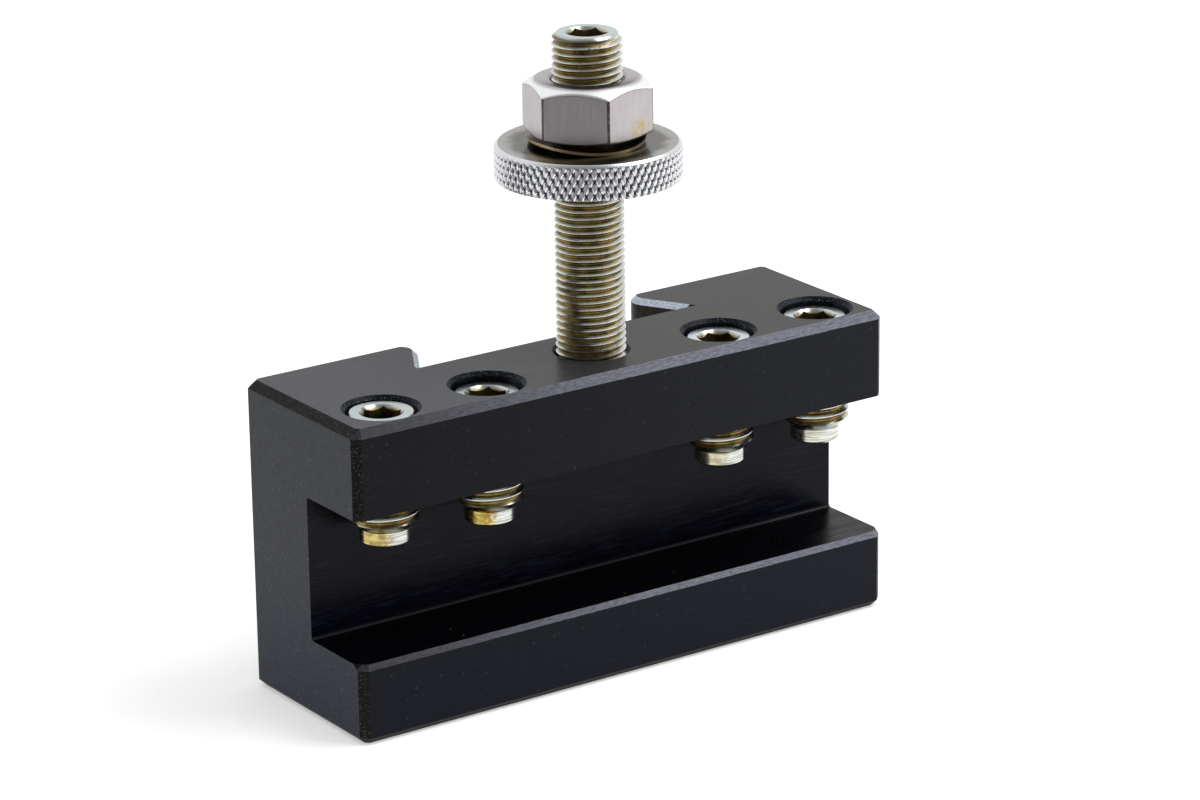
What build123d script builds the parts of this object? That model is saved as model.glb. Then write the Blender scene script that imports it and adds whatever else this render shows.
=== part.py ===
from build123d import *
import os
from math import ceil, cos, radians, sqrt, tan

# A turning tool holder for a dovetail tool post, in millimetres.
# Frame: the origin is the middle of the block's base, X runs along the tool slot and Z is up.
# The tool slot opens towards -Y and the dovetail towards +Y.
# Each piece is drawn with y = 0 at the block's front face, where the slot's sizes start, and
# main() moves them all together so that y = 0 is the middle of the block's depth.

# ---- Holder block: one piece of hardened steel
block_length = 88.9
block_depth = 28.7
block_height = 45.0
corner_chamfer = 1.1          # upright corners
top_chamfer = 1.15            # outline of the top face
base_chamfer = 1.0            # the same, round the base

# ---- Tool slot: takes a 3/4 in (19.05 mm) shank
slot_floor = 11.5             # thickness of the lower jaw
slot_height = 20.8
slot_depth = 12.9
slot_root_radius = 0.5        # inner corners
slot_lip_chamfer = 0.7        # front edge of the lower jaw

# ---- Female dovetail, cut right through from top to base
dovetail_root_width = 45.0
dovetail_depth = 9.85
dovetail_angle = 60.0         # between a flank and the root face
dovetail_middle = 0.5         # x of its middle
dovetail_lip_radius = 2.6     # blunt tips of the two lips
dovetail_chamfer = 0.8        # its edges at the top and base

# ---- Metric fine thread shared by the stud and the clamp screws
thread_diameter = 9.8         # over the crests
thread_pitch = 1.0
thread_depth = 0.55           # radial, crest to root
thread_sides = 14             # flats round each turn that shows; the rest is plain, at the crests
thread_clearance = 0.05       # radial, between a crest and its tapped hole
countersink_width = 0.55      # radial, round the mouth of each tapped hole
socket_flats = 5.0            # hexagon socket, across flats
socket_depth = 5.0
socket_mouth = 0.3            # radial width of the chamfer at the socket's corners

# ---- Clamp screws: set screws with a dog point, in one row over the tool slot
screw_row_y = 6.9
screw_row_middle = 0.65       # x of the middle of the row
screw_end_inset = 7.9         # from the ends of the block to the outer screws, on average
inner_screw_spacing = 39.1
screw_length = 18.3
screw_top_chamfer = 0.55
screw_drops = (0.55, 1.25, 0.95, 1.1)        # each top, below the top of the block
screw_socket_turns = (51.5, 52.5, 25.5, 26.5)  # a corner of each socket, from +X
dog_diameter = 6.6
dog_length = 2.0              # below the cone that ends the thread

# ---- Height stud: a long set screw, run down to the bottom of its blind hole
stud_x = 0.9
stud_y = 10.5
stud_length = 55.0
stud_hole_depth = 9.5
stud_end_chamfer = 0.75
stud_socket_turn = 29.0

# ---- Height wheel: the knurled nut that rests on the tool post
wheel_diameter = 26.0
wheel_thickness = 5.0
wheel_height = 25.1           # its underside, above the top of the block
wheel_top_chamfer = 0.5
bore_chamfer = 0.5            # both ends of the threaded bores of the wheel and the nut

# ---- Spring washer: thin and bowed, between the wheel and the nut
washer_diameter = 16.4
washer_hole = 10.9
washer_thickness = 0.4
washer_bow = 0.75             # rise of its two high edges
washer_valley_turn = 266.0    # direction of the line that rests on the wheel, from +X
washer_shift = 0.35           # how far it has slipped sideways round the stud
washer_shift_turn = 207.0
seat_gap = 0.02               # between the washer and what it touches

# ---- Lock nut
nut_flats = 16.0
nut_thickness = 8.0
nut_turn = 13.5               # a corner of the nut, from +X
nut_top_face = 14.0           # diameters of the flat end faces inside the corner chamfers
nut_base_face = 15.2
nut_top_slope = 30.0
nut_base_slope = 22.0

# ---- Worked out from the sizes above
thread_radius = thread_diameter / 2
tapped_radius = thread_radius + thread_clearance
jaw_underside = slot_floor + slot_height
dovetail_root_y = block_depth - dovetail_depth
dovetail_mouth_width = dovetail_root_width - 2 * dovetail_depth / tan(radians(dovetail_angle))
outer_screw_spacing = block_length - 2 * screw_end_inset
screw_xs = (
    screw_row_middle - outer_screw_spacing / 2,
    screw_row_middle - inner_screw_spacing / 2,
    screw_row_middle + inner_screw_spacing / 2,
    screw_row_middle + outer_screw_spacing / 2,
)
stud_foot = block_height - stud_hole_depth
wheel_foot = block_height + wheel_height
washer_foot = wheel_foot + wheel_thickness + seat_gap
bow_radius = ((washer_diameter / 2) ** 2 + washer_bow**2) / (2 * washer_bow)
nut_reach = nut_base_face / 2 + washer_shift
washer_top = washer_foot + bow_radius - sqrt((bow_radius - washer_thickness) ** 2 - nut_reach**2)
nut_foot = washer_top + seat_gap
overrun = 2.0                 # how far a cut runs past the face it leaves
edge_search = 0.01            # how closely an edge's place is matched


def revolved(profile):
    """A solid turned about Z from the (radius, height) corners of half its section."""
    return revolve(Plane.XZ * make_face(Polyline(*profile, close=True)), Axis.Z)


def upright(outline, foot, height):
    """A prism on a flat outline, from z = foot upwards."""
    return extrude(Pos(0, 0, foot) * outline, height)


def hexagon(flats, turn):
    """A regular hexagon of the given size across flats, with a corner turned from +X."""
    return RegularPolygon(flats / 2, 6, major_radius=False, rotation=turn)


def tapped_hole(x, y, foot, mouth):
    """What a tapped hole removes: the bore, and the countersink round its upper mouth."""
    rim = tapped_radius + countersink_width
    profile = [
        (0, foot),
        (tapped_radius, foot),
        (tapped_radius, mouth - countersink_width),
        (rim, mouth),
        (rim, mouth + overrun),
        (0, mouth + overrun),
    ]
    return Pos(x, y, 0) * revolved(profile)


def hex_socket(top, turn):
    """What a hexagon socket removes from a screw's end, with its chamfered mouth."""
    corner = socket_flats / 2 / cos(radians(30))
    rim = corner + socket_mouth
    mouth = [
        (0, top - rim * tan(radians(30))),
        (rim, top),
        (rim, top + overrun),
        (0, top + overrun),
    ]
    recess = upright(hexagon(socket_flats, turn), top - socket_depth, socket_depth + overrun)
    return recess + revolved(mouth)


def dovetail_outline():
    """The dovetail's section, carried straight back past the rear face."""
    root = dovetail_root_width / 2
    mouth = dovetail_mouth_width / 2
    corners = [
        (-root, dovetail_root_y),
        (root, dovetail_root_y),
        (mouth, block_depth),
        (mouth, block_depth + overrun),
        (-mouth, block_depth + overrun),
        (-mouth, block_depth),
    ]
    return Pos(dovetail_middle, 0) * make_face(Polyline(*corners, close=True))


def near(edge, x, y):
    """Whether an edge's middle lies close to a place seen from above."""
    middle = edge @ 0.5
    return abs(middle.X - x) < edge_search and abs(middle.Y - y) < edge_search


def at_height(edges, height):
    """The edges whose middles lie at one height."""
    return ShapeList(edge for edge in edges if abs((edge @ 0.5).Z - height) < edge_search)


def holder_body():
    """The block, with its slot, its dovetail and its tapped holes."""
    block = Pos(0, block_depth / 2, block_height / 2) * Box(block_length, block_depth, block_height)
    block = chamfer(block.edges().filter_by(Axis.Z), corner_chamfer)
    block = chamfer(at_height(block.edges(), block_height), top_chamfer)
    block = chamfer(at_height(block.edges(), 0), base_chamfer)

    # The dovetail, with the tips of its lips blunted and its flanks' edges broken
    block -= upright(dovetail_outline(), -overrun, block_height + 2 * overrun)
    lip_tips = [
        edge
        for edge in block.edges().filter_by(Axis.Z)
        if near(edge, dovetail_middle + dovetail_mouth_width / 2, block_depth)
        or near(edge, dovetail_middle - dovetail_mouth_width / 2, block_depth)
    ]
    block = fillet(ShapeList(lip_tips), dovetail_lip_radius)
    for height in (block_height, 0):
        rim = [
            edge
            for edge in at_height(block.edges(), height)
            if dovetail_root_y - edge_search < (edge @ 0.5).Y < block_depth - edge_search
            and abs((edge @ 0.5).X - dovetail_middle) < dovetail_root_width / 2
        ]
        block = chamfer(ShapeList(rim), dovetail_chamfer)

    # The slot, with its two inner corners rounded and the lower jaw's front edge broken
    slot = Pos(0, (slot_depth - overrun) / 2, slot_floor + slot_height / 2) * Box(
        block_length + 2 * overrun, slot_depth + overrun, slot_height
    )
    inner_corners = slot.edges().filter_by(Axis.X).group_by(Axis.Y)[-1]
    block -= fillet(inner_corners, slot_root_radius)
    lower_jaw_rim = ShapeList(
        edge
        for edge in block.edges()
        if abs((edge @ 0.5).Z - slot_floor) < edge_search and (edge @ 0.5).Y < corner_chamfer
    )
    block = chamfer(lower_jaw_rim, slot_lip_chamfer)

    for x in screw_xs:
        block -= tapped_hole(x, screw_row_y, slot_floor + slot_height / 2, block_height)
    block -= tapped_hole(stud_x, stud_y, stud_foot, block_height)
    return block


def clamp_screw(x, drop, socket_turn):
    """A set screw: thread, cone and dog, with a socket in its upper end."""
    top = block_height - drop
    tip = top - screw_length
    dog = dog_diameter / 2
    cone_foot = tip + dog_length
    profile = [
        (0, tip),
        (dog, tip),
        (dog, cone_foot),
        (thread_radius, cone_foot + thread_radius - dog),
        (thread_radius, top - screw_top_chamfer),
        (thread_radius - screw_top_chamfer, top),
        (0, top),
    ]
    screw = revolved(profile) - hex_socket(top, socket_turn)
    return Pos(x, screw_row_y, 0) * screw


def ringed_thread(foot, turns):
    """A thread drawn as a many-sided ring for each turn, with its root at both ends."""

    def section(level):
        """The corners at one height: roots at even levels, crests at odd ones."""
        radius = thread_radius if level % 2 else thread_radius - thread_depth
        first = Vector(radius, 0, foot + level * thread_pitch / 2)
        return [first.rotate(Axis.Z, 360 * side / thread_sides) for side in range(thread_sides)]

    sections = [section(level) for level in range(2 * turns + 1)]
    flats = [Face(Wire.make_polygon(end)) for end in (sections[0], sections[-1])]
    for lower, upper in zip(sections, sections[1:]):
        for side in range(thread_sides):
            corners = [lower[side - 1], lower[side], upper[side], upper[side - 1]]
            flats.append(Face(Wire.make_polygon(corners)))
    return Solid(Shell(flats))


def height_stud():
    """The long set screw that the height wheel runs on: a plain shank, and a ring for each turn."""
    top = stud_foot + stud_length
    turns = ceil((top - block_height) / thread_pitch)
    thread_foot = top - turns * thread_pitch
    shank = [
        (0, stud_foot),
        (thread_radius - stud_end_chamfer, stud_foot),
        (thread_radius, stud_foot + stud_end_chamfer),
        (thread_radius, thread_foot),
        (0, thread_foot),
    ]
    stud = revolved(shank) + ringed_thread(thread_foot, turns)
    stud -= hex_socket(top, stud_socket_turn)
    return Pos(stud_x, stud_y, 0) * stud


def bore(foot, top):
    """What a threaded through bore removes, with a chamfer at each end."""
    profile = [
        (0, foot - overrun),
        (tapped_radius + bore_chamfer, foot - overrun),
        (tapped_radius + bore_chamfer, foot),
        (tapped_radius, foot + bore_chamfer),
        (tapped_radius, top - bore_chamfer),
        (tapped_radius + bore_chamfer, top),
        (tapped_radius + bore_chamfer, top + overrun),
        (0, top + overrun),
    ]
    return revolved(profile)


def height_wheel():
    """The round nut whose underside rests on the tool post."""
    rim = wheel_diameter / 2
    top = wheel_foot + wheel_thickness
    profile = [
        (0, wheel_foot),
        (rim, wheel_foot),
        (rim, top - wheel_top_chamfer),
        (rim - wheel_top_chamfer, top),
        (0, top),
    ]
    return Pos(stud_x, stud_y, 0) * (revolved(profile) - bore(wheel_foot, top))


def spring_washer():
    """A thin ring bent about its valley line, which rests on the wheel."""
    half = washer_diameter / 2
    sheet = Circle(bow_radius) - Circle(bow_radius - washer_thickness)
    ribbon = extrude(Plane.XZ * Pos(0, bow_radius) * sheet, half + overrun, both=True)
    ring = extrude(Circle(half) - Circle(washer_hole / 2), washer_bow + washer_thickness + overrun)
    washer = Rot(0, 0, washer_valley_turn - 90) * (ring & ribbon)
    shift = Vector(washer_shift, 0).rotate(Axis.Z, washer_shift_turn)
    return Pos(stud_x + shift.X, stud_y + shift.Y, washer_foot) * washer


def lock_nut():
    """A hexagon nut with its corners chamfered at both ends."""
    reach = nut_flats / 2 / cos(radians(30))
    foot = nut_foot
    top = nut_foot + nut_thickness
    top_fall = (reach - nut_top_face / 2) * tan(radians(nut_top_slope))
    base_rise = (reach - nut_base_face / 2) * tan(radians(nut_base_slope))
    envelope = [
        (0, foot),
        (nut_base_face / 2, foot),
        (reach, foot + base_rise),
        (reach, top - top_fall),
        (nut_top_face / 2, top),
        (0, top),
    ]
    nut = upright(hexagon(nut_flats, nut_turn), foot, nut_thickness) & revolved(envelope)
    return Pos(stud_x, stud_y, 0) * (nut - bore(foot, top))


def main():
    """Write each piece to its own file."""
    pieces = {
        "holder_body": holder_body(),
        "height_stud": height_stud(),
        "height_wheel": height_wheel(),
        "spring_washer": spring_washer(),
        "lock_nut": lock_nut(),
    }
    for number, (x, drop, turn) in enumerate(zip(screw_xs, screw_drops, screw_socket_turns), 1):
        pieces[f"clamp_screw_{number}"] = clamp_screw(x, drop, turn)
    os.makedirs("parts", exist_ok=True)
    for name, piece in pieces.items():
        placed = Pos(0, -block_depth / 2, 0) * piece
        placed.label = name
        export_step(placed, f"parts/{name}.step")


main()
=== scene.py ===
"""Looks of the turning tool holder: black block, bright screws, threaded stud and knurled wheel."""

import math
from types import SimpleNamespace

import bmesh
import bpy
from mathutils import Matrix, Vector


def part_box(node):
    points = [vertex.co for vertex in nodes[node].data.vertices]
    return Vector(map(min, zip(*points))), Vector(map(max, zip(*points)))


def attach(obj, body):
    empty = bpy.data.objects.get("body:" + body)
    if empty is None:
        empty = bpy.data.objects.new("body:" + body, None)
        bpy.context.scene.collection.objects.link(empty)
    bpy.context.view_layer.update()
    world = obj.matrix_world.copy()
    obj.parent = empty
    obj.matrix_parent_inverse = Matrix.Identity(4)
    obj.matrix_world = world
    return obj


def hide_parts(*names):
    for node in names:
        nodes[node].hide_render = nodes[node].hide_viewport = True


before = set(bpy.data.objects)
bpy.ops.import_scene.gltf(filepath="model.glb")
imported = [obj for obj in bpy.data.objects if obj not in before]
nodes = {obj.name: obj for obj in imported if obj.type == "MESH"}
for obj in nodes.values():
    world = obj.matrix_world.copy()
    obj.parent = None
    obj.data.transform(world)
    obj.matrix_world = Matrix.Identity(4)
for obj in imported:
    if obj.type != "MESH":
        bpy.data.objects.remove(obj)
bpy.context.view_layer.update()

MM = 0.001

# ---- Sizes that the frame's boxes don't give, in metres
THREAD_SEGMENTS = 72                # round every threaded piece; a multiple of six for the sockets
THREAD_DEPTH = 0.56 * MM
THREAD_PROFILE = [                  # one turn: shares of the pitch up, of the depth inwards
    (0.0, 0.12), (0.03, 0.0), (0.11, 0.0), (0.14, 0.12),
    (0.46, 0.9), (0.52, 1.0), (0.62, 1.0), (0.68, 0.9),
]
STUD_PITCH = 1.0 * MM
SCREW_PITCH = 1.25 * MM
STUD_END_CHAMFER = 0.75 * MM
SCREW_TOP_CHAMFER = 0.56 * MM
SOCKET_FLATS = 5.0 * MM
SOCKET_DEPTH = 5.0 * MM
STUD_SOCKET_MOUTH = 0.12 * MM       # radial width of the 45 degree lead-in at the corners
SCREW_SOCKET_MOUTH = 0.2 * MM
STUD_SOCKET_TURN = math.radians(29.0)
SCREW_SOCKET_TURNS = [math.radians(turn) for turn in (51.5, 52.5, 25.5, 26.5)]
DOG_RADIUS = 3.5 * MM
DOG_LENGTH = 2.0 * MM
DOG_EDGE = 0.25 * MM
NECK_RADIUS = 3.0 * MM
NECK_LENGTH = 0.3 * MM
SHOULDER = 1.15 * MM
KNURL_TEETH = 70
KNURL_HELIX = math.radians(30.0)
KNURL_DEPTH = 0.34 * MM             # of the pits, where the grooves cross
KNURL_SADDLE = 0.17 * MM            # of the grooves between two pits
KNURL_TIP = 0.4                     # the flat on each point, as a share of its base
KNURL_FIRST = 0.68 * MM             # the lowest row of points, above the foot of the wheel
WHEEL_RIM = 0.5 * MM
RIM_PROFILE = [                     # shares of WHEEL_RIM: inwards, below the top
    (0.35, 0.8), (0.45, 0.62), (0.95, 0.1), (1.15, 0.0),
]
WHEEL_BASE_EDGE = 0.05 * MM
WHEEL_BORE = 4.95 * MM
BORE_EDGE = 0.5 * MM
NUT_TURN = math.radians(13.5)
NUT_FLATS = 16.0 * MM
NUT_FACE = 7.0 * MM                 # radius of the flat on top
NUT_SEAT = 7.6 * MM                 # radius of the flat below
NUT_TOP_CONE = math.radians(30)
NUT_FOOT_CONE = math.radians(22)
NUT_ROUNDING = 0.3 * MM
NUT_BORE = 4.95 * MM
NUT_SINK = 0.45 * MM
MERGE = 0.002 * MM                  # vertices nearer than this are one

# ---- Colour of each screw, and how much yellow oil stain its dog point has
STUD_FACE = (0.47, 0.53, 0.52)      # of the upper end face
# Screws 3 and 4 have lighter end faces than screws 1 and 2.
DARKER_ZINC = (0.46, 0.53, 0.55)
LIGHTER_ZINC = (0.66, 0.72, 0.76)
SCREW_FACES = (DARKER_ZINC, DARKER_ZINC, LIGHTER_ZINC, LIGHTER_ZINC)
DOG_STAINS = (0.9, 1.0, 0.5, 0.2)
CONE_SHINE = 0.75 * MM              # height of the clean cone below the thread

# ---- Where the block's faces, wear, painted highlights and painted shade begin and end, in millimetres
SLOT_HEIGHTS = (11.4, 32.4)
SLOT_DEPTHS = (-14.0, -1.4)
CORNER_HEIGHTS = (11.58, 11.66)     # the bright line at the foot of the slot's back wall
CORNER_DEPTHS = (-1.9, -1.5)
FRONT_EDGE = (-13.0, -13.2)
END_EDGE = (43.1, 43.3)
SINK_HEIGHTS = (44.2, 44.4)
SINK_DEPTHS = (0.5, -0.5)
DOVETAIL_DEPTHS = (4.6, 14.0)
DOVETAIL_SIDES = (30.0, 25.0)
TOP_HEIGHTS = (40.0, 44.0)
LOW_HEIGHTS = (24.0, 5.0)           # the lower, the bluer; on the ends also darker, a painted shade
FRONT_SIDES = (-40.0, 44.0)         # the further to +X, the lighter
TOP_SIDES = (-30.0, 15.0)           # from bluish to brownish
FRONT_EDGE_LIGHT_SIDES = (-46.0, 15.0)          # the front edge's wear and painted highlight grow towards +X

# ---- Where the nut's stain, painted highlight and painted shade lie, in millimetres from its axis and above its foot
STAIN_HEIGHTS = (0.9, 2.2)
STAIN_SIDES = (2.6, 6.0)
STAIN_DEPTHS = (-4.0, -5.0)
CONE_RADII = (7.1, 7.8)
CONE_HEIGHTS = (5.0, 6.0)
CORNER_RADII = (9.08, 9.13)
HEM_RADII = (7.7, 7.9)
HEM_HEIGHTS = (0.5, 0.3)

# ---- The camera, from a fit to the photograph
AZIMUTH = math.radians(34.56)       # from straight in front, towards the -X end
ELEVATION = math.radians(18.78)
ROLL = math.radians(-0.80)
DISTANCE = 0.65924
ASIDE = 3.87 * MM                   # how far the eye is moved across and up in its own frame
ABOVE = 13.44 * MM
FOCUS_HEIGHT = 22.48 * MM           # of the point that it is DISTANCE away from
LENS = 140.08
SENSOR = 36.0

# ---- Light, at which a colour renders about as it is written
WORLD_LIGHT = 0.7
KEY_SIDE = (0.5, -0.35, 0.8)        # from the object towards the lamp
KEY_AIM = 0.045                     # height that the lamp points at
KEY_DISTANCE = 0.7
KEY_SIZE = 0.4
KEY_POWER = 2.6
FLOOR_SIZE = 4.0
FLOOR_EDGE = 0.17                   # from the object to the near edge of the floor
FLOOR_LIFT = 0.36
ROOM_SIDE = (-0.54, -0.78, 0.32)    # from the object towards the room behind the camera
ROOM_LEVEL = 0.25


# =============================================================== meshes

def new_object(name, mesh):
    """A shaded object for a finished bmesh, linked to the scene."""
    bmesh.ops.remove_doubles(mesh, verts=mesh.verts, dist=MERGE)
    bmesh.ops.dissolve_degenerate(mesh, edges=mesh.edges, dist=MERGE / 2)
    bmesh.ops.recalc_face_normals(mesh, faces=mesh.faces)
    data = bpy.data.meshes.new(name)
    mesh.to_mesh(data)
    mesh.free()
    piece = bpy.data.objects.new(name, data)
    bpy.context.scene.collection.objects.link(piece)
    return piece


def smooth_by_angle(piece, degrees):
    """Smooth shading that keeps edges sharper than an angle."""
    data = piece.data
    data.polygons.foreach_set("use_smooth", [True] * len(data.polygons))
    data.set_sharp_from_angle(angle=math.radians(degrees))


def ring(mesh, centre, radii, height, turn):
    """A closed ring of vertices; radii is one number or one for each vertex."""
    count = THREAD_SEGMENTS
    values = radii if isinstance(radii, list) else [radii] * count
    verts = []
    for k in range(count):
        angle = turn + 2 * math.pi * k / count
        z = height[k] if isinstance(height, list) else height
        x = centre[0] + values[k] * math.cos(angle)
        y = centre[1] + values[k] * math.sin(angle)
        verts.append(mesh.verts.new((x, y, z)))
    return verts


def skin(mesh, rings):
    """Faces between each ring and the next."""
    for lower, upper in zip(rings, rings[1:]):
        count = len(lower)
        for k in range(count):
            n = (k + 1) % count
            mesh.faces.new((lower[k], lower[n], upper[n], upper[k]))


def disc(mesh, loop, centre, height):
    """A fan that closes a ring."""
    hub = mesh.verts.new((centre[0], centre[1], height))
    for k in range(len(loop)):
        mesh.faces.new((loop[k], loop[(k + 1) % len(loop)], hub))


def thread(mesh, centre, turn, pitch, crest, foot, foot_radius, top, top_radius):
    """A helical thread that runs out into a 45 degree chamfer at each end."""
    count = THREAD_SEGMENTS
    turns = int((top - foot) / pitch) + 2
    start = foot - pitch
    rows = [(up * pitch, crest - inwards * THREAD_DEPTH) for up, inwards in THREAD_PROFILE]

    def place(step, point):
        """A point of the profile at one step round the axis, held between the two ends."""
        extra, index = divmod(point, len(rows))
        offset, radius = rows[index]
        z = start + pitch * (step / count + extra) + offset
        z = min(max(z, foot), top)
        radius = min(radius, foot_radius + (z - foot), top_radius + (top - z))
        angle = turn + 2 * math.pi * step / count
        return (centre[0] + radius * math.cos(angle), centre[1] + radius * math.sin(angle), z)

    columns = []
    for step in range(count * turns + 1):
        columns.append([mesh.verts.new(place(step, point)) for point in range(len(rows) + 1)])
    for a, b in zip(columns, columns[1:]):
        for k in range(len(rows)):
            corners = [a[k], b[k], b[k + 1], a[k + 1]]
            if len({tuple(round(c, 8) for c in v.co) for v in corners}) > 2:
                mesh.faces.new(corners)


def hex_socket(mesh, centre, turn, top, rim_radius, lead_in):
    """The end face of a screw with its hexagon socket, from the rim inwards."""
    corner = SOCKET_FLATS / 2 / math.cos(math.radians(30))
    mouth = corner + lead_in
    walls = []
    for k in range(THREAD_SEGMENTS):
        from_corner = math.radians(360 * k / THREAD_SEGMENTS % 60 - 30)
        walls.append(SOCKET_FLATS / 2 / math.cos(from_corner))
    lip = [top - (mouth - wall) for wall in walls]
    bottom = top - SOCKET_DEPTH
    rings = [
        ring(mesh, centre, rim_radius, top, turn),
        ring(mesh, centre, mouth, top, turn),
        ring(mesh, centre, walls, lip, turn),
        ring(mesh, centre, walls, bottom, turn),
    ]
    skin(mesh, rings)
    disc(mesh, rings[-1], centre, bottom)


def axis_of(node):
    """(x, y) of a node's upright axis, its lowest and highest point, and its radius along x."""
    low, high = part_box(node)
    middle = (low + high) / 2
    return (middle.x, middle.y), low.z, high.z, (high.x - low.x) / 2


def height_stud():
    """The stud, with its thread cut and its socket."""
    centre, foot, top, radius = axis_of("height_stud")
    mesh = bmesh.new()
    end = radius - STUD_END_CHAMFER
    thread(mesh, centre, STUD_SOCKET_TURN, STUD_PITCH, radius, foot, end, top, end)
    hex_socket(mesh, centre, STUD_SOCKET_TURN, top, end, STUD_SOCKET_MOUTH)
    disc(mesh, ring(mesh, centre, end, foot, STUD_SOCKET_TURN), centre, foot)
    piece = new_object("threaded_stud", mesh)
    smooth_by_angle(piece, 40)
    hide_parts("height_stud")
    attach(piece, "holder")
    return piece


def clamp_screw(number):
    """A clamp screw: thread, cone, neck and dog point below, socket above."""
    node = f"clamp_screw_{number}"
    turn = SCREW_SOCKET_TURNS[number - 1]
    centre, tip, top, radius = axis_of(node)
    mesh = bmesh.new()
    neck_foot = tip + DOG_LENGTH
    cone_foot = neck_foot + NECK_LENGTH
    cone_radius = radius - SHOULDER
    end = radius - SCREW_TOP_CHAMFER
    thread(mesh, centre, turn, SCREW_PITCH, radius, cone_foot, cone_radius, top, end)
    outline = [
        (DOG_RADIUS - DOG_EDGE, tip),
        (DOG_RADIUS, tip + DOG_EDGE),
        (DOG_RADIUS, neck_foot),
        (NECK_RADIUS, neck_foot),
        (NECK_RADIUS, cone_foot),
        (cone_radius, cone_foot),
    ]
    rings = [ring(mesh, centre, r, z, turn) for r, z in outline]
    skin(mesh, rings)
    disc(mesh, rings[0], centre, tip)
    hex_socket(mesh, centre, turn, top, end, SCREW_SOCKET_MOUTH)
    piece = new_object(f"threaded_screw_{number}", mesh)
    smooth_by_angle(piece, 40)
    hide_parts(node)
    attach(piece, f"screw_{number}")
    return piece


def zipper(mesh, first, second, centre):
    """Triangles between two closed loops of different counts, matched by angle."""
    def angles(loop):
        """The loop's vertices with their angles, in order round the axis."""
        pairs = []
        for vert in loop:
            angle = math.atan2(vert.co.y - centre[1], vert.co.x - centre[0]) % (2 * math.pi)
            pairs.append((round(angle, 7), vert))
        pairs.sort(key=lambda pair: pair[0])
        return pairs

    a, b = angles(first), angles(second)
    i = j = 0
    while i < len(a) or j < len(b):
        angle_a = a[(i + 1) % len(a)][0] + 2 * math.pi * ((i + 1) // len(a))
        angle_b = b[(j + 1) % len(b)][0] + 2 * math.pi * ((j + 1) // len(b))
        here_a, here_b = a[i % len(a)][1], b[j % len(b)][1]
        if j >= len(b) or (i < len(a) and angle_a <= angle_b):
            mesh.faces.new((here_a, here_b, a[(i + 1) % len(a)][1]))
            i += 1
        else:
            mesh.faces.new((here_a, here_b, b[(j + 1) % len(b)][1]))
            j += 1


def knurl(mesh, centre, foot, top, radius, first):
    """A band of diamond points between two heights; returns its lower and upper edge loops."""
    step = 2 * math.pi / KNURL_TEETH
    rise = step * radius / math.tan(KNURL_HELIX)      # from one point to the next above it
    rows = int((top - foot) / rise) + 4
    band = bmesh.new()

    def place(across, along, depth):
        """A point of the band, counted in points round it and up it."""
        angle = across * step
        r = radius - depth
        return (centre[0] + r * math.cos(angle), centre[1] + r * math.sin(angle),
                first + (along - 1) * rise)

    for row in range(2 * rows):
        for tooth in range(KNURL_TEETH):
            across = tooth + 0.5 * (row % 2)
            along = 0.5 * row
            corners = [(0.5, 0), (0, 0.5), (-0.5, 0), (0, -0.5)]
            sides = [(0.25, 0.25), (-0.25, 0.25), (-0.25, -0.25), (0.25, -0.25)]
            pits = [band.verts.new(place(across + i, along + j, KNURL_DEPTH)) for i, j in corners]
            saddles = [band.verts.new(place(across + i, along + j, KNURL_SADDLE)) for i, j in sides]
            tip = [band.verts.new(place(across + KNURL_TIP * i, along + KNURL_TIP * j, 0))
                   for i, j in corners]
            band.faces.new(tip)
            for k in range(4):
                n = (k + 1) % 4
                band.faces.new((pits[k], saddles[k], tip[k]))
                band.faces.new((saddles[k], tip[n], tip[k]))
                band.faces.new((saddles[k], pits[n], tip[n]))
    bmesh.ops.remove_doubles(band, verts=band.verts, dist=0.005 * MM)
    for height, side in ((foot, -1), (top, 1)):
        geometry = list(band.verts) + list(band.edges) + list(band.faces)
        bmesh.ops.bisect_plane(band, geom=geometry, dist=0.001 * MM, plane_co=(0, 0, height),
                               plane_no=(0, 0, side), clear_outer=True)
    data = bpy.data.meshes.new("band")
    band.to_mesh(data)
    band.free()
    mesh.from_mesh(data)
    bpy.data.meshes.remove(data)
    edges = [vert for vert in mesh.verts if vert.is_boundary]
    lower = [vert for vert in edges if abs(vert.co.z - foot) < 0.01 * MM]
    upper = [vert for vert in edges if abs(vert.co.z - top) < 0.01 * MM]
    return lower, upper


def height_wheel():
    """The knurled wheel, with its plain rim chamfer and its bore."""
    centre, foot, top, radius = axis_of("height_wheel")
    mesh = bmesh.new()
    first = foot + KNURL_FIRST
    lower, upper = knurl(mesh, centre, foot + WHEEL_BASE_EDGE, top - WHEEL_RIM, radius, first)
    base = ring(mesh, centre, radius - KNURL_DEPTH - WHEEL_BASE_EDGE, foot, 0.0)
    rim = [ring(mesh, centre, radius - WHEEL_RIM * inwards, top - WHEEL_RIM * down, 0.0)
           for inwards, down in RIM_PROFILE]
    zipper(mesh, lower, base, centre)
    zipper(mesh, rim[0], upper, centre)
    mouth = WHEEL_BORE + BORE_EDGE
    bore = [
        ring(mesh, centre, mouth, top, 0.0),
        ring(mesh, centre, WHEEL_BORE, top - BORE_EDGE, 0.0),
        ring(mesh, centre, WHEEL_BORE, foot + BORE_EDGE, 0.0),
        ring(mesh, centre, mouth, foot, 0.0),
    ]
    skin(mesh, rim + bore + [base])
    piece = new_object("knurled_wheel", mesh)
    smooth_by_angle(piece, 16)
    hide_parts("height_wheel")
    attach(piece, "wheel")
    return piece


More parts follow.
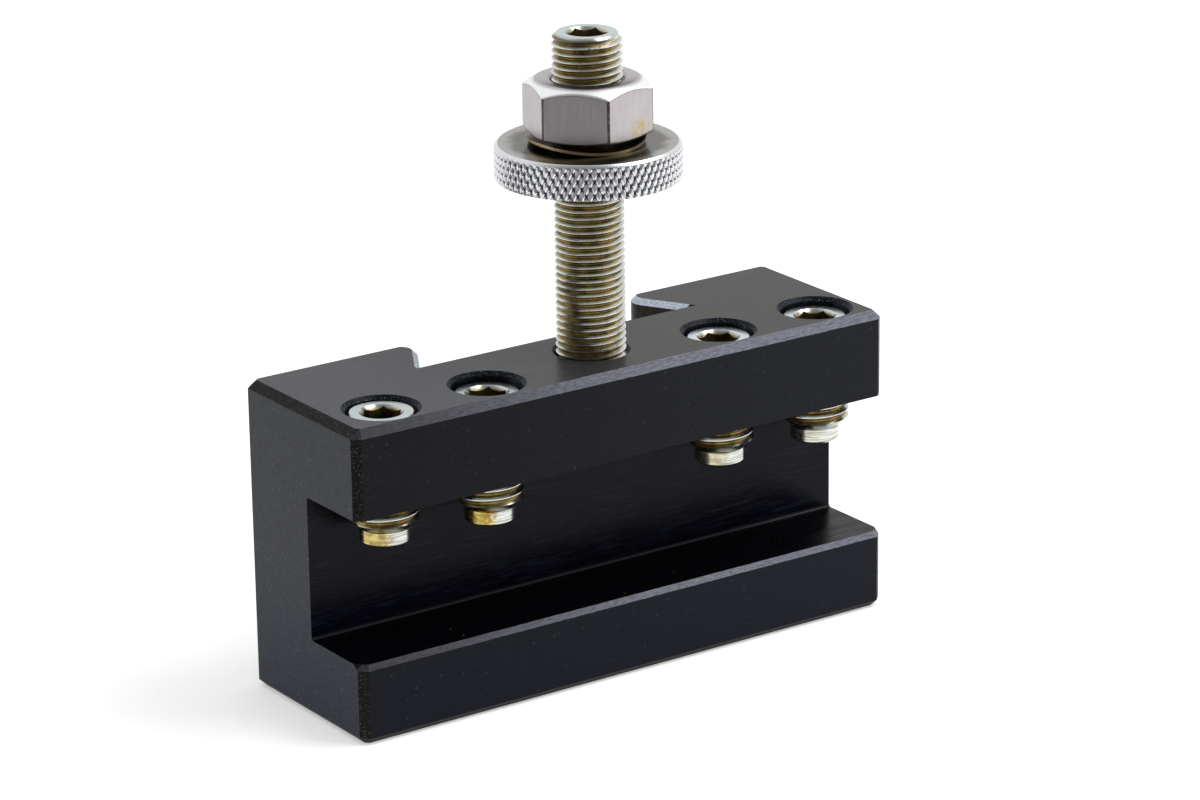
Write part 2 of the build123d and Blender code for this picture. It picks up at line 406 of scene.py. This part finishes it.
def lock_nut():
    """The hexagon nut: coned end faces, softened edges and a countersunk bore."""
    centre, foot, top, _ = axis_of("lock_nut")
    mesh = bmesh.new()
    turn = NUT_TURN
    walls, upper, lower = [], [], []
    for k in range(THREAD_SEGMENTS):
        from_corner = math.radians(360 * k / THREAD_SEGMENTS % 60 - 30)
        wall = NUT_FLATS / 2 / math.cos(from_corner)
        walls.append(wall)
        upper.append(top - max(0.0, wall - NUT_FACE) * math.tan(NUT_TOP_CONE))
        lower.append(foot + max(0.0, wall - NUT_SEAT) * math.tan(NUT_FOOT_CONE))
    mouth = NUT_BORE + NUT_SINK
    rings = [
        ring(mesh, centre, NUT_BORE, foot + NUT_SINK, turn),
        ring(mesh, centre, mouth, foot, turn),
        ring(mesh, centre, NUT_SEAT, foot, turn),
        ring(mesh, centre, walls, lower, turn),
        ring(mesh, centre, walls, upper, turn),
        ring(mesh, centre, NUT_FACE, top, turn),
        ring(mesh, centre, mouth, top, turn),
        ring(mesh, centre, NUT_BORE, top - NUT_SINK, turn),
    ]
    skin(mesh, rings + rings[:1])
    piece = new_object("hex_nut", mesh)
    soften = piece.modifiers.new("soften", "BEVEL")
    soften.width = NUT_ROUNDING
    soften.segments = 3
    soften.limit_method = "ANGLE"
    soften.angle_limit = math.radians(24)
    soften.use_clamp_overlap = True
    smooth_by_angle(piece, 30)
    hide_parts("lock_nut")
    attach(piece, "nut")
    return piece


# =============================================================== materials

class Graph:
    """The nodes of one material or world; each method adds a node and returns its output."""

    def __init__(self, owner):
        owner.use_nodes = True
        self.owner = owner
        self.tree = owner.node_tree

    def node(self, kind, inputs, output=0, **settings):
        """Adds a node with its settings and inputs, and returns one of its outputs."""
        made = self.tree.nodes.new(kind)
        for key, value in settings.items():
            setattr(made, key, value)
        for key, value in inputs.items():
            self.feed(made.inputs[key], value)
        return made.outputs[output]

    def feed(self, socket, value):
        """Gives a socket another node's output, a number, a vector or a colour."""
        if isinstance(value, bpy.types.NodeSocket):
            self.tree.links.new(value, socket)
        elif socket.type == "RGBA":
            socket.default_value = (*value, 1)
        else:
            socket.default_value = value

    def math(self, operation, a, b=0.0):
        return self.node("ShaderNodeMath", {0: a, 1: b}, operation=operation)

    def times(self, *values):
        """The product of the values."""
        product = values[0]
        for value in values[1:]:
            product = self.math("MULTIPLY", product, value)
        return product

    def rest(self, value):
        """What is left of 1."""
        return self.math("SUBTRACT", 1.0, value)

    def most(self, *values):
        """The largest of the values."""
        largest = values[0]
        for value in values[1:]:
            largest = self.math("MAXIMUM", largest, value)
        return largest

    def mix(self, share, a, b):
        """The colour a, with a share of the colour b."""
        return self.node("ShaderNodeMix", {0: share, 6: a, 7: b}, output=2, data_type="RGBA")

    def blend(self, share, a, b):
        """The number a, with a share of the number b."""
        return self.node("ShaderNodeMix", {0: share, 2: a, 3: b}, data_type="FLOAT")

    def ramp(self, value, low, high, to_low=0.0, to_high=1.0):
        """Goes smoothly from to_low to to_high while a value goes from low to high."""
        inputs = {0: value, 1: low, 2: high, 3: to_low, 4: to_high}
        return self.node("ShaderNodeMapRange", inputs, interpolation_type="SMOOTHSTEP")

    def within(self, value, low, high, soft):
        """1 between two limits, fading out over a soft width at each."""
        rising = self.ramp(value, low - soft, low)
        falling = self.ramp(value, high, high + soft, 1.0, 0.0)
        return self.times(rising, falling)

    def place(self, stretch=(1, 1, 1), centre=(0, 0, 0)):
        """The point on the piece in millimetres, from a centre, stretched along each axis."""
        point = self.node("ShaderNodeTexCoord", {}, output=3)
        moved = self.node("ShaderNodeVectorMath", {0: point, 1: centre}, operation="SUBTRACT")
        factor = tuple(s / MM for s in stretch)
        return self.node("ShaderNodeVectorMath", {0: moved, 1: factor}, operation="MULTIPLY")

    def noise(self, point, scale, detail=3.0, roughness=0.5, distortion=0.0):
        """Soft cloudy variation, from about 0.2 to 0.8."""
        inputs = {"Vector": point, "Scale": scale, "Detail": detail, "Roughness": roughness,
                  "Distortion": distortion}
        return self.node("ShaderNodeTexNoise", inputs)

    def specks(self, point, spacing, radius, share):
        """Round flecks in some of the cells of a Voronoi pattern, sizes in millimetres."""
        cells = self.tree.nodes.new("ShaderNodeTexVoronoi")
        self.feed(cells.inputs["Vector"], point)
        self.feed(cells.inputs["Scale"], 1 / spacing)
        chance = self.split(cells.outputs["Color"])
        reach = self.ramp(chance[1], 0.0, 1.0, 0.4 * radius / spacing, radius / spacing)
        near = self.math("DIVIDE", cells.outputs["Distance"], reach)
        return self.times(self.ramp(near, 0.6, 1.1, 1.0, 0.0),
                          self.ramp(chance[0], share - 0.01, share + 0.01, 1.0, 0.0))

    def split(self, vector):
        """The three numbers of a vector or colour."""
        made = self.tree.nodes.new("ShaderNodeSeparateXYZ")
        self.feed(made.inputs[0], vector)
        return made.outputs

    def facing(self):
        """The surface's own direction, as three numbers."""
        return self.split(self.node("ShaderNodeNewGeometry", {}, output=1))

    def squarely(self, direction):
        """1 where the surface faces straight along an axis, either way."""
        return self.ramp(self.math("ABSOLUTE", direction), 0.9, 0.99)

    def around(self, centre):
        """The point's place from an upright axis, and its distance from it, in millimetres."""
        x, y, z = self.split(self.place(centre=(centre[0], centre[1], 0)))
        radius = self.math("SQRT", self.math("ADD", self.times(x, x), self.times(y, y)))
        return x, y, z, radius

    def bump(self, height, distance, strength=1.0, below=None):
        """A surface direction tilted by a height, with its distance in millimetres."""
        inputs = {"Height": height, "Distance": distance * MM, "Strength": strength}
        if below is not None:
            inputs["Normal"] = below
        return self.node("ShaderNodeBump", inputs)

    def surface(self, **inputs):
        """Sets inputs of the Principled shader, and returns the material."""
        shader = self.tree.nodes["Principled BSDF"]
        for key, value in inputs.items():
            self.feed(shader.inputs[key.replace("_", " ")], value)
        return self.owner


def material(name):
    return Graph(bpy.data.materials.new(name))


def block_zones(g):
    """A point's place on the block, and how far it is on each kind of face, from 0 to 1."""
    x, y, z = g.split(g.place())
    nx, ny, nz = g.facing()
    end = g.squarely(nx)
    front = g.squarely(ny)
    broken = g.rest(g.most(g.squarely(nz), end, front))
    side = g.math("ABSOLUTE", x)
    on = SimpleNamespace(x=x, z=z, end=end, broken=broken)
    on.up = g.ramp(nz, 0.9, 0.99)
    on.front_edge = g.times(broken, g.ramp(y, *FRONT_EDGE), g.ramp(nz, 0.3, 0.6))
    on.end_edge = g.times(broken, g.ramp(side, *END_EDGE))
    on.sink = g.times(broken, g.ramp(z, *SINK_HEIGHTS), g.rest(on.front_edge),
                      g.rest(on.end_edge), g.ramp(y, *SINK_DEPTHS))
    on.slot = g.times(g.within(z, *SLOT_HEIGHTS, 0.05), g.within(y, *SLOT_DEPTHS, 0.05),
                      g.rest(end))
    on.slot_back = g.times(on.slot, front)
    on.slot_corner = g.times(g.within(z, *CORNER_HEIGHTS, 0.04),
                             g.within(y, *CORNER_DEPTHS, 0.06), on.slot)
    dovetail = g.times(g.within(y, *DOVETAIL_DEPTHS, 0.1), g.ramp(side, *DOVETAIL_SIDES), broken)
    on.flank = g.times(dovetail, g.ramp(g.math("ABSOLUTE", nz), 0.2, 0.1))
    on.flank_edge = g.times(dovetail, g.ramp(nz, 0.3, 0.5))
    return on


def block_marks(g):
    """Grain and tool marks, each a noise drawn out along its own direction."""
    return SimpleNamespace(
        grain=g.noise(g.place(), 3.6, 2.0, 0.6),
        fine=g.noise(g.place(), 6.0, 2.0, 0.7),
        speckle=g.noise(g.place(), 2.6, 3.0, 0.7),
        cloud=g.noise(g.place(), 0.12, 3.0),
        chips=g.noise(g.place((1.0, 4.5, 4.5)), 1.0, 4.0, 0.65),
        along_x=g.noise(g.place((0.12, 5.0, 5.0)), 1.0, 4.0),
        along_z=g.noise(g.place((5.0, 5.0, 0.6)), 1.0, 4.0),
        milled=g.noise(g.place((0.22, 1.0, 3.6)), 1.0, 3.0, 0.55, 0.3),
    )


def flat_faces(g, on, marks):
    """Bluish black in front, greyer at the ends with painted shade low down, brownish on top,
    darkest in the slot as painted shade.
    """
    low = g.ramp(on.z, *LOW_HEIGHTS)
    dark = g.mix(g.ramp(on.x, *FRONT_SIDES), (0.0006, 0.0008, 0.0026), (0.0062, 0.0072, 0.0108))
    dark = g.mix(g.times(low, 0.6), dark, (0.001, 0.0025, 0.009))
    colour = g.mix(g.ramp(marks.fine, 0.35, 0.7, 0.0, 0.4), dark, (0.009, 0.010, 0.0155))

    rubbed = g.math("ADD", g.times(marks.along_z, 0.35), g.times(marks.speckle, 0.65))
    rubbed = g.ramp(rubbed, 0.34, 0.64)
    end_tone = g.mix(rubbed, (0.014, 0.016, 0.023), (0.034, 0.037, 0.048))
    # Painted shade: the end faces are darker and bluer towards their foot.
    low_end_shade = g.mix(rubbed, (0.006, 0.010, 0.021), (0.023, 0.029, 0.046))
    colour = g.mix(on.end, colour, g.mix(low, end_tone, low_end_shade))

    rubbed = g.math("ADD", g.times(marks.along_x, 0.4), g.times(marks.speckle, 0.6))
    rubbed = g.ramp(rubbed, 0.34, 0.64)
    bluish = g.mix(rubbed, (0.026, 0.027, 0.034), (0.052, 0.054, 0.063))
    brownish = g.mix(rubbed, (0.017, 0.016, 0.015), (0.038, 0.036, 0.033))
    top_tone = g.mix(g.ramp(on.x, *TOP_SIDES), bluish, brownish)
    colour = g.mix(g.times(on.up, g.ramp(on.z, *TOP_HEIGHTS)), colour, top_tone)
    colour = g.mix(g.ramp(marks.fine, 0.5, 0.75, 0.0, 0.14), colour, (0.05, 0.053, 0.062))

    # Painted shade: the slot between the jaws is darkened.
    painted_slot_shade = g.mix(on.up, (0.0002, 0.0008, 0.0046), (0.0004, 0.0006, 0.0014))
    colour = g.mix(on.slot, colour, painted_slot_shade)
    ripples = g.times(on.slot_back, g.ramp(marks.milled, 0.5, 0.62),
                      g.ramp(marks.cloud, 0.35, 0.6, 0.2, 1.0))
    return g.mix(ripples, colour, (0.008, 0.0095, 0.017))


def broken_edges(g, on, marks, colour):
    """Chamfers and countersinks over the colour of the flat faces: wear, grains, a bright slot
    corner, painted glints and highlights.
    """
    grain = marks.grain
    plain = g.mix(g.ramp(grain, 0.4, 0.66, 0.0, 0.5), (0.001, 0.001, 0.0015), (0.016, 0.016, 0.015))
    colour = g.mix(on.broken, colour, plain)
    # The upward-facing front chamfer: partly real ground wear, partly a painted highlight, brighter
    # towards +X.
    painted_edge_light_and_shade = g.math("ADD", g.times(marks.fine, 0.3), g.times(marks.chips, 0.7))
    painted_edge_light_and_shade = g.times(g.ramp(painted_edge_light_and_shade, 0.3, 0.66, 0.3, 1.0), g.ramp(on.x, *FRONT_EDGE_LIGHT_SIDES, 0.17, 1.0))
    colour = g.mix(g.times(on.front_edge, painted_edge_light_and_shade), colour, (0.21, 0.215, 0.27))
    pale_grains = g.times(on.end_edge, g.ramp(grain, 0.6, 0.72), 0.8)
    colour = g.mix(pale_grains, colour, (0.13, 0.125, 0.09))
    colour = g.mix(on.sink, colour, (0.0015, 0.0017, 0.003))
    glints = g.times(on.sink, g.ramp(g.noise(g.place(), 4.5, 1.0), 0.6, 0.66), 0.6)
    colour = g.mix(glints, colour, (0.09, 0.14, 0.23))
    corner = g.times(on.slot_corner, g.ramp(marks.along_x, 0.3, 0.5, 0.5, 1.0))
    colour = g.mix(corner, colour, (0.022, 0.024, 0.030))
    grain_patches = g.ramp(grain, 0.3, 0.6, 0.6, 1.0)
    colour = g.mix(g.times(on.flank, grain_patches), colour, (0.062, 0.056, 0.042))
    # Painted highlight: a bright bluish strip along the dovetail's chamfer.
    return g.mix(g.times(on.flank_edge, grain_patches), colour, (0.60, 0.68, 0.78))


def dust(g, on, colour):
    """Pale flecks on the outside and yellow swarf on the slot's floor."""
    small = g.specks(g.place(), 0.95, 0.15, 0.3)
    large = g.specks(g.place((1.0, 1.1, 0.9)), 1.9, 0.24, 0.3)
    flecks = g.times(g.most(small, large), g.blend(on.end, 0.07, 0.3), g.rest(on.slot))
    colour = g.mix(flecks, colour, (0.30, 0.31, 0.29))
    swarf = g.times(g.specks(g.place(), 1.5, 0.14, 0.3), on.slot, on.up)
    return g.mix(swarf, colour, (0.20, 0.16, 0.05))


def black_oxide():
    """Machined steel, blackened: brushed ends, milled slot, grainy broken edges and dust."""
    g = material("black_oxide")
    on = block_zones(g)
    marks = block_marks(g)
    colour = dust(g, on, broken_edges(g, on, marks, flat_faces(g, on, marks)))
    streak = g.blend(on.end, marks.along_x, marks.along_z)
    streak = g.blend(on.slot, streak, marks.milled)
    rough = g.ramp(streak, 0.2, 0.8, g.blend(on.end, 0.24, 0.3), g.blend(on.end, 0.4, 0.36))
    rough = g.blend(on.broken, rough, 0.45)
    relief = g.bump(streak, 0.01, 0.6)
    relief = g.bump(g.blend(on.broken, marks.fine, marks.grain), 0.012, 0.5, relief)
    return g.surface(Base_Color=colour, Roughness=rough, Normal=relief, Specular_IOR_Level=0.115)


def zinc_zones(g, centre, crest, foot, top):
    """How far a point is on each part of a screw or the stud, from 0 to 1."""
    x, y, z, radius = g.around(centre)
    crest, foot, top, clean = crest / MM, foot / MM, top / MM, (foot + CONE_SHINE) / MM
    on = SimpleNamespace(x=x, y=y)
    on.depth = g.math("SUBTRACT", crest, radius)
    # Painted highlight: the side towards +X, kept brighter in zinc() as if lit from there.
    on.right = g.ramp(g.math("ADD", x, g.times(y, -0.35)), 1.0, 4.5)
    on.end_face = g.ramp(z, top - 0.1, top - 0.05)
    on.under_face = g.ramp(z, top - 0.12, top - 0.1, 1.0, 0.0)
    on.rim = g.times(g.ramp(radius, crest - 0.5, crest - 0.45), g.ramp(z, top - 0.62, top - 0.5))
    on.thread = g.times(g.ramp(radius, crest - 0.95, crest - 0.9),
                        g.ramp(z, top - 0.85, top - 0.7, 1.0, 0.0), g.ramp(z, clean, clean + 0.15))
    on.above_dog = g.ramp(z, foot, foot + 0.1)
    on.dog = g.ramp(z, foot - 0.1, foot + 0.1, 1.0, 0.0)
    on.socket = g.times(g.ramp(radius, 2.85, 2.95, 1.0, 0.0),
                        g.ramp(z, top - 0.5, top - 0.2, 1.0, 0.0), g.ramp(z, foot, foot + 0.05))
    on.deep = g.ramp(z, top - 1.5, top - 4.5)
    return on


def zinc_stains_and_shade(g, on, lathe, stained, colour):
    """Yellow on both ends, turned lines on the dog point, pits in the thread and painted shade on
    the rim.
    """
    patch = g.noise(g.place(), 0.8, 4.0, 0.6)
    blotch = g.times(on.end_face, g.ramp(patch, 0.54, 0.68), stained, 0.7)
    colour = g.mix(blotch, colour, (0.72, 0.62, 0.30))
    aside = g.math("ADD", g.math("SUBTRACT", on.x, g.times(on.y, 0.7)), g.times(patch, 5.0))
    stain = g.times(on.dog, g.ramp(aside, 2.4, 4.8, 1.0, 0.0), stained)
    gold = g.mix(g.ramp(patch, 0.4, 0.6), (0.28, 0.18, 0.03), (0.62, 0.50, 0.13))
    colour = g.mix(stain, colour, gold)
    lines = g.times(on.dog, g.ramp(lathe, 0.42, 0.6, 0.0, 0.6))
    colour = g.mix(lines, colour, (0.20, 0.16, 0.08))
    pits = g.times(on.thread, g.ramp(g.noise(g.place(), 2.2, 2.0), 0.66, 0.72), 0.7)
    colour = g.mix(pits, colour, (0.02, 0.018, 0.012))
    # Painted shade: the end chamfer at the rim is darkened.
    return g.mix(g.times(on.rim, 0.75), colour, (0.05, 0.045, 0.035))


def zinc(name, centre, crest, foot, top, face, stained=0.0):
    """Bright zinc plate, with golden-brown tarnish down in the thread and the socket."""
    g = material(name)
    on = zinc_zones(g, centre, crest, foot, top)
    cloud = g.noise(g.place(), 0.5, 4.0)
    fine = g.noise(g.place(), 4.0, 3.0)
    lathe = g.noise(g.place((0.25, 0.25, 7.5)), 1.0, 2.0)

    # Bright crests, dull flanks and tarnished roots, less so on the right, which is painted
    # brighter as if lit from there
    bright = g.mix(fine, (0.60, 0.63, 0.60), (0.78, 0.81, 0.78))
    bright = g.mix(on.end_face, bright, face)
    dull = g.times(g.ramp(on.depth, 0.08, 0.2), on.above_dog, g.blend(on.right, 0.85, 0.4),
                   on.under_face)
    bright = g.mix(dull, bright, (0.33, 0.33, 0.28))
    root = g.ramp(g.math("SUBTRACT", on.depth, g.blend(on.right, 0.24, 0.36)), 0.0, 0.14)
    tarnished = g.times(root, on.thread, g.ramp(cloud, 0.15, 0.45, 0.75, 1.0))
    tarnish = g.mix(g.ramp(cloud, 0.3, 0.65), (0.11, 0.072, 0.016), (0.37, 0.27, 0.095))
    colour = g.mix(tarnished, bright, tarnish)

    hollow = g.mix(g.ramp(cloud, 0.4, 0.6), (0.09, 0.068, 0.025), (0.24, 0.19, 0.08))
    # Painted shade: the socket darkens towards its bottom.
    hollow = g.mix(on.deep, hollow, (0.03, 0.024, 0.014))
    colour = g.mix(on.socket, colour, hollow)
    colour = zinc_stains_and_shade(g, on, lathe, stained, colour)
    rough = g.ramp(g.most(tarnished, on.socket), 0.0, 1.0, 0.22, 0.42)
    relief = g.bump(g.blend(on.dog, fine, lathe), 0.006, 0.6)
    return g.surface(Base_Color=colour, Metallic=1.0, Roughness=rough, Normal=relief)


def wheel_plate(centre, rim, foot, top):
    """Satin plate, turned on its face, with painted shade under the nut and in the knurl's pits."""
    g = material("wheel_plate")
    _, _, z, radius = g.around(centre)
    rim, foot, top = rim / MM, foot / MM, top / MM
    face = g.times(g.ramp(z, top - 0.1, top - 0.05), g.ramp(radius, rim - 0.5, rim - 0.6))
    band = g.times(g.within(z, foot + 0.02, top - 0.5, 0.02), g.ramp(radius, rim - 1, rim - 0.9))
    fine = g.noise(g.place(), 3.0, 3.0)
    cloud = g.noise(g.place(), 0.35, 4.0)
    turning = g.node("ShaderNodeTexNoise", {"W": radius, "Scale": 7.0, "Detail": 2.0},
                     noise_dimensions="1D")
    colour = g.mix(fine, (0.62, 0.63, 0.65), (0.74, 0.75, 0.77))
    colour = g.mix(face, colour, g.mix(turning, (0.25, 0.24, 0.225), (0.36, 0.35, 0.33)))
    # Painted shade: the top face darkens towards the bore, under the nut.
    shade_reach = g.math("ADD", radius, g.times(cloud, 3.0))
    brown = g.times(face, g.ramp(shade_reach, 13.4, 11.4), 0.92)
    colour = g.mix(brown, colour, (0.02, 0.016, 0.009))
    # Painted shade in the knurl's pits.
    pit_shade = g.times(band, g.ramp(radius, rim - 0.13, rim - 0.25))
    colour = g.mix(g.times(pit_shade, 0.9), colour, (0.014, 0.013, 0.012))
    rough = g.blend(face, 0.25, g.ramp(turning, 0.3, 0.7, 0.16, 0.28))
    relief = g.bump(g.blend(face, fine, turning), 0.004, 0.6)
    return g.surface(Base_Color=colour, Metallic=1.0, Roughness=rough, Normal=relief)


def nut_plate(centre, foot, top):
    """Dull pinkish nickel plate: a painted highlight on the top cone, painted shade along the
    corners, round the foot and on the -X, -Y side of the top, and a yellow stain.
    """
    g = material("nut_plate")
    x, y, z, radius = g.around(centre)
    height = g.math("SUBTRACT", z, foot / MM)
    cloud = g.noise(g.place(), 0.3, 4.0)
    drawn = g.noise(g.place((3.0, 3.0, 0.25)), 1.0, 3.0)
    colour = g.mix(cloud, (0.38, 0.35, 0.36), (0.50, 0.47, 0.475))
    colour = g.mix(g.ramp(drawn, 0.3, 0.7, 0.0, 0.15), colour, (0.30, 0.28, 0.29))
    patch = g.noise(g.place(), 0.7, 4.0, 0.65)
    stain = g.times(g.within(height, *STAIN_HEIGHTS, 1.1), g.within(x, *STAIN_SIDES, 1.2),
                    g.ramp(y, *STAIN_DEPTHS), g.ramp(patch, 0.34, 0.6))
    colour = g.mix(g.times(stain, 0.8), colour, (0.44, 0.34, 0.13))
    up = g.facing()[2]
    # Painted shade: the top face is darkened on its -X, -Y side.
    side = g.math("ADD", g.times(x, -0.5), g.times(y, -0.85))
    painted_top_shade = g.times(g.ramp(up, 0.94, 0.98), g.ramp(g.math("ADD", side, patch), 1.0, 5.5), 0.85)
    colour = g.mix(painted_top_shade, colour, (0.11, 0.105, 0.10))
    # Painted highlight: a bright band round the top cone.
    cone = g.times(g.within(up, 0.35, 0.93, 0.04), g.ramp(radius, *CONE_RADII),
                   g.ramp(height, *CONE_HEIGHTS), 0.9)
    colour = g.mix(cone, colour, (0.92, 0.93, 0.95))
    # Painted shade: dark lines along the vertical corners and round the foot, broken up by noise.
    corner = g.times(g.ramp(radius, *CORNER_RADII), g.ramp(z, top / MM - 0.7, top / MM - 1.1))
    hem = g.times(g.ramp(height, *HEM_HEIGHTS), g.ramp(radius, *HEM_RADII))
    painted_edge_light_and_shade = g.times(g.most(corner, hem), g.ramp(patch, 0.3, 0.55, 0.6, 1.0))
    colour = g.mix(painted_edge_light_and_shade, colour, (0.07, 0.06, 0.055))
    flecks = g.specks(g.place(), 0.8, 0.12, 0.25)
    near_edge = g.most(g.ramp(height, 0.7, 0.25), g.ramp(patch, 0.6, 0.75))
    colour = g.mix(g.times(flecks, near_edge), colour, (0.05, 0.04, 0.03))
    rough = g.ramp(drawn, 0.3, 0.7, 0.3, 0.38)
    relief = g.bump(drawn, 0.003, 0.3)
    return g.surface(Base_Color=colour, Metallic=1.0, Roughness=rough, Normal=relief)


def washer_steel():
    """Dark spring steel, bright brass-coloured along its cut edges."""
    g = material("washer_steel")
    nz = g.facing()[2]
    side = g.ramp(g.math("ABSOLUTE", nz), 0.5, 0.35)
    cloud = g.noise(g.place(), 0.8, 4.0)
    colour = g.mix(cloud, (0.05, 0.038, 0.022), (0.14, 0.11, 0.07))
    colour = g.mix(g.times(side, g.ramp(cloud, 0.3, 0.5, 0.5, 1.0)), colour, (0.62, 0.50, 0.27))
    return g.surface(Base_Color=colour, Metallic=1.0, Roughness=0.3,
                     Normal=g.bump(cloud, 0.01, 0.5))


def wear(piece, finish):
    """Gives a piece its material."""
    piece.data.materials.clear()
    piece.data.materials.append(finish)


# =============================================================== stage

def set_camera():
    """The photograph's viewpoint."""
    back = Vector((-math.sin(AZIMUTH) * math.cos(ELEVATION),
                   -math.cos(AZIMUTH) * math.cos(ELEVATION),
                   math.sin(ELEVATION)))
    level = Vector((0, 0, 1)).cross(back).normalized()
    upward = back.cross(level)
    right = level * math.cos(ROLL) + upward * math.sin(ROLL)
    up = upward * math.cos(ROLL) - level * math.sin(ROLL)
    eye = Vector((0, 0, FOCUS_HEIGHT)) + back * DISTANCE + right * ASIDE + up * ABOVE
    data = bpy.data.cameras.new("camera")
    data.sensor_width = SENSOR
    data.lens = LENS
    seen = bpy.data.objects.new("camera", data)
    turn = Matrix((right, up, back)).transposed()
    seen.matrix_world = Matrix.Translation(eye) @ turn.to_4x4()
    bpy.context.scene.collection.objects.link(seen)
    bpy.context.scene.camera = seen


def add_lamp():
    """One soft square light, high on the right, that faces the object."""
    data = bpy.data.lights.new("key", "AREA")
    data.shape = "RECTANGLE"
    data.size = data.size_y = KEY_SIZE
    data.energy = KEY_POWER
    light = bpy.data.objects.new("key", data)
    towards = Vector(KEY_SIDE).normalized()
    light.location = Vector((0, 0, KEY_AIM)) + towards * KEY_DISTANCE
    light.rotation_euler = towards.to_track_quat("Z", "Y").to_euler()
    bpy.context.scene.collection.objects.link(light)


def looked_at(g):
    """1 for what is seen directly, or in a reflection or through glass; 0 for what lights."""
    path = g.tree.nodes.new("ShaderNodeLightPath").outputs
    return g.most(path["Is Camera Ray"], path["Is Glossy Ray"], path["Is Transmission Ray"])


def lay_floor():
    """A pale sheet: wide behind the object, and with its near edge square to the camera."""
    ahead = Vector((math.sin(AZIMUTH), math.cos(AZIMUTH), 0))
    across = Vector((ahead.y, -ahead.x, 0))
    mesh = bmesh.new()
    places = [(-FLOOR_SIZE, -FLOOR_EDGE), (FLOOR_SIZE, -FLOOR_EDGE),
              (FLOOR_SIZE, FLOOR_SIZE), (-FLOOR_SIZE, FLOOR_SIZE)]
    mesh.faces.new([mesh.verts.new(across * side + ahead * depth) for side, depth in places])
    piece = new_object("floor", mesh)
    g = material("floor")
    g.surface(Base_Color=(0.88, 0.88, 0.88), Roughness=0.9, Specular_IOR_Level=0.0,
              Emission_Color=(1, 1, 1), Emission_Strength=g.times(looked_at(g), FLOOR_LIFT))
    wear(piece, g.owner)


def set_world():
    """White all round; in reflections the room behind the camera is dimmer."""
    surround = bpy.data.worlds.new("world")
    bpy.context.scene.world = surround
    g = Graph(surround)
    path = g.tree.nodes.new("ShaderNodeLightPath").outputs
    around = g.node("ShaderNodeTexCoord", {}, output=0)
    towards = g.node("ShaderNodeVectorMath", {0: around, 1: ROOM_SIDE}, output=1,
                     operation="DOT_PRODUCT")
    room = g.ramp(towards, 0.1, 0.8, 1.0, ROOM_LEVEL)
    seen = g.blend(path["Is Glossy Ray"], 1.0, room)
    strength = g.blend(looked_at(g), WORLD_LIGHT, seen)
    background = g.tree.nodes["Background"]
    g.feed(background.inputs["Color"], (1, 1, 1))
    g.feed(background.inputs["Strength"], strength)


# =============================================================== the scene

bpy.context.scene.view_settings.view_transform = "Standard"
set_camera()
lay_floor()
set_world()
add_lamp()
wear(nodes["holder_body"], black_oxide())
centre, foot, top, radius = axis_of("height_stud")
wear(height_stud(), zinc("stud_zinc", centre, radius, foot, top, STUD_FACE))
for number in range(1, 5):
    centre, tip, top, radius = axis_of(f"clamp_screw_{number}")
    foot = tip + DOG_LENGTH + NECK_LENGTH
    finish = zinc(f"screw_zinc_{number}", centre, radius, foot, top,
                  SCREW_FACES[number - 1], DOG_STAINS[number - 1])
    wear(clamp_screw(number), finish)
centre, foot, top, radius = axis_of("height_wheel")
wear(height_wheel(), wheel_plate(centre, radius, foot, top))
centre, foot, top, _ = axis_of("lock_nut")
wear(lock_nut(), nut_plate(centre, foot, top))
wear(nodes["spring_washer"], washer_steel())
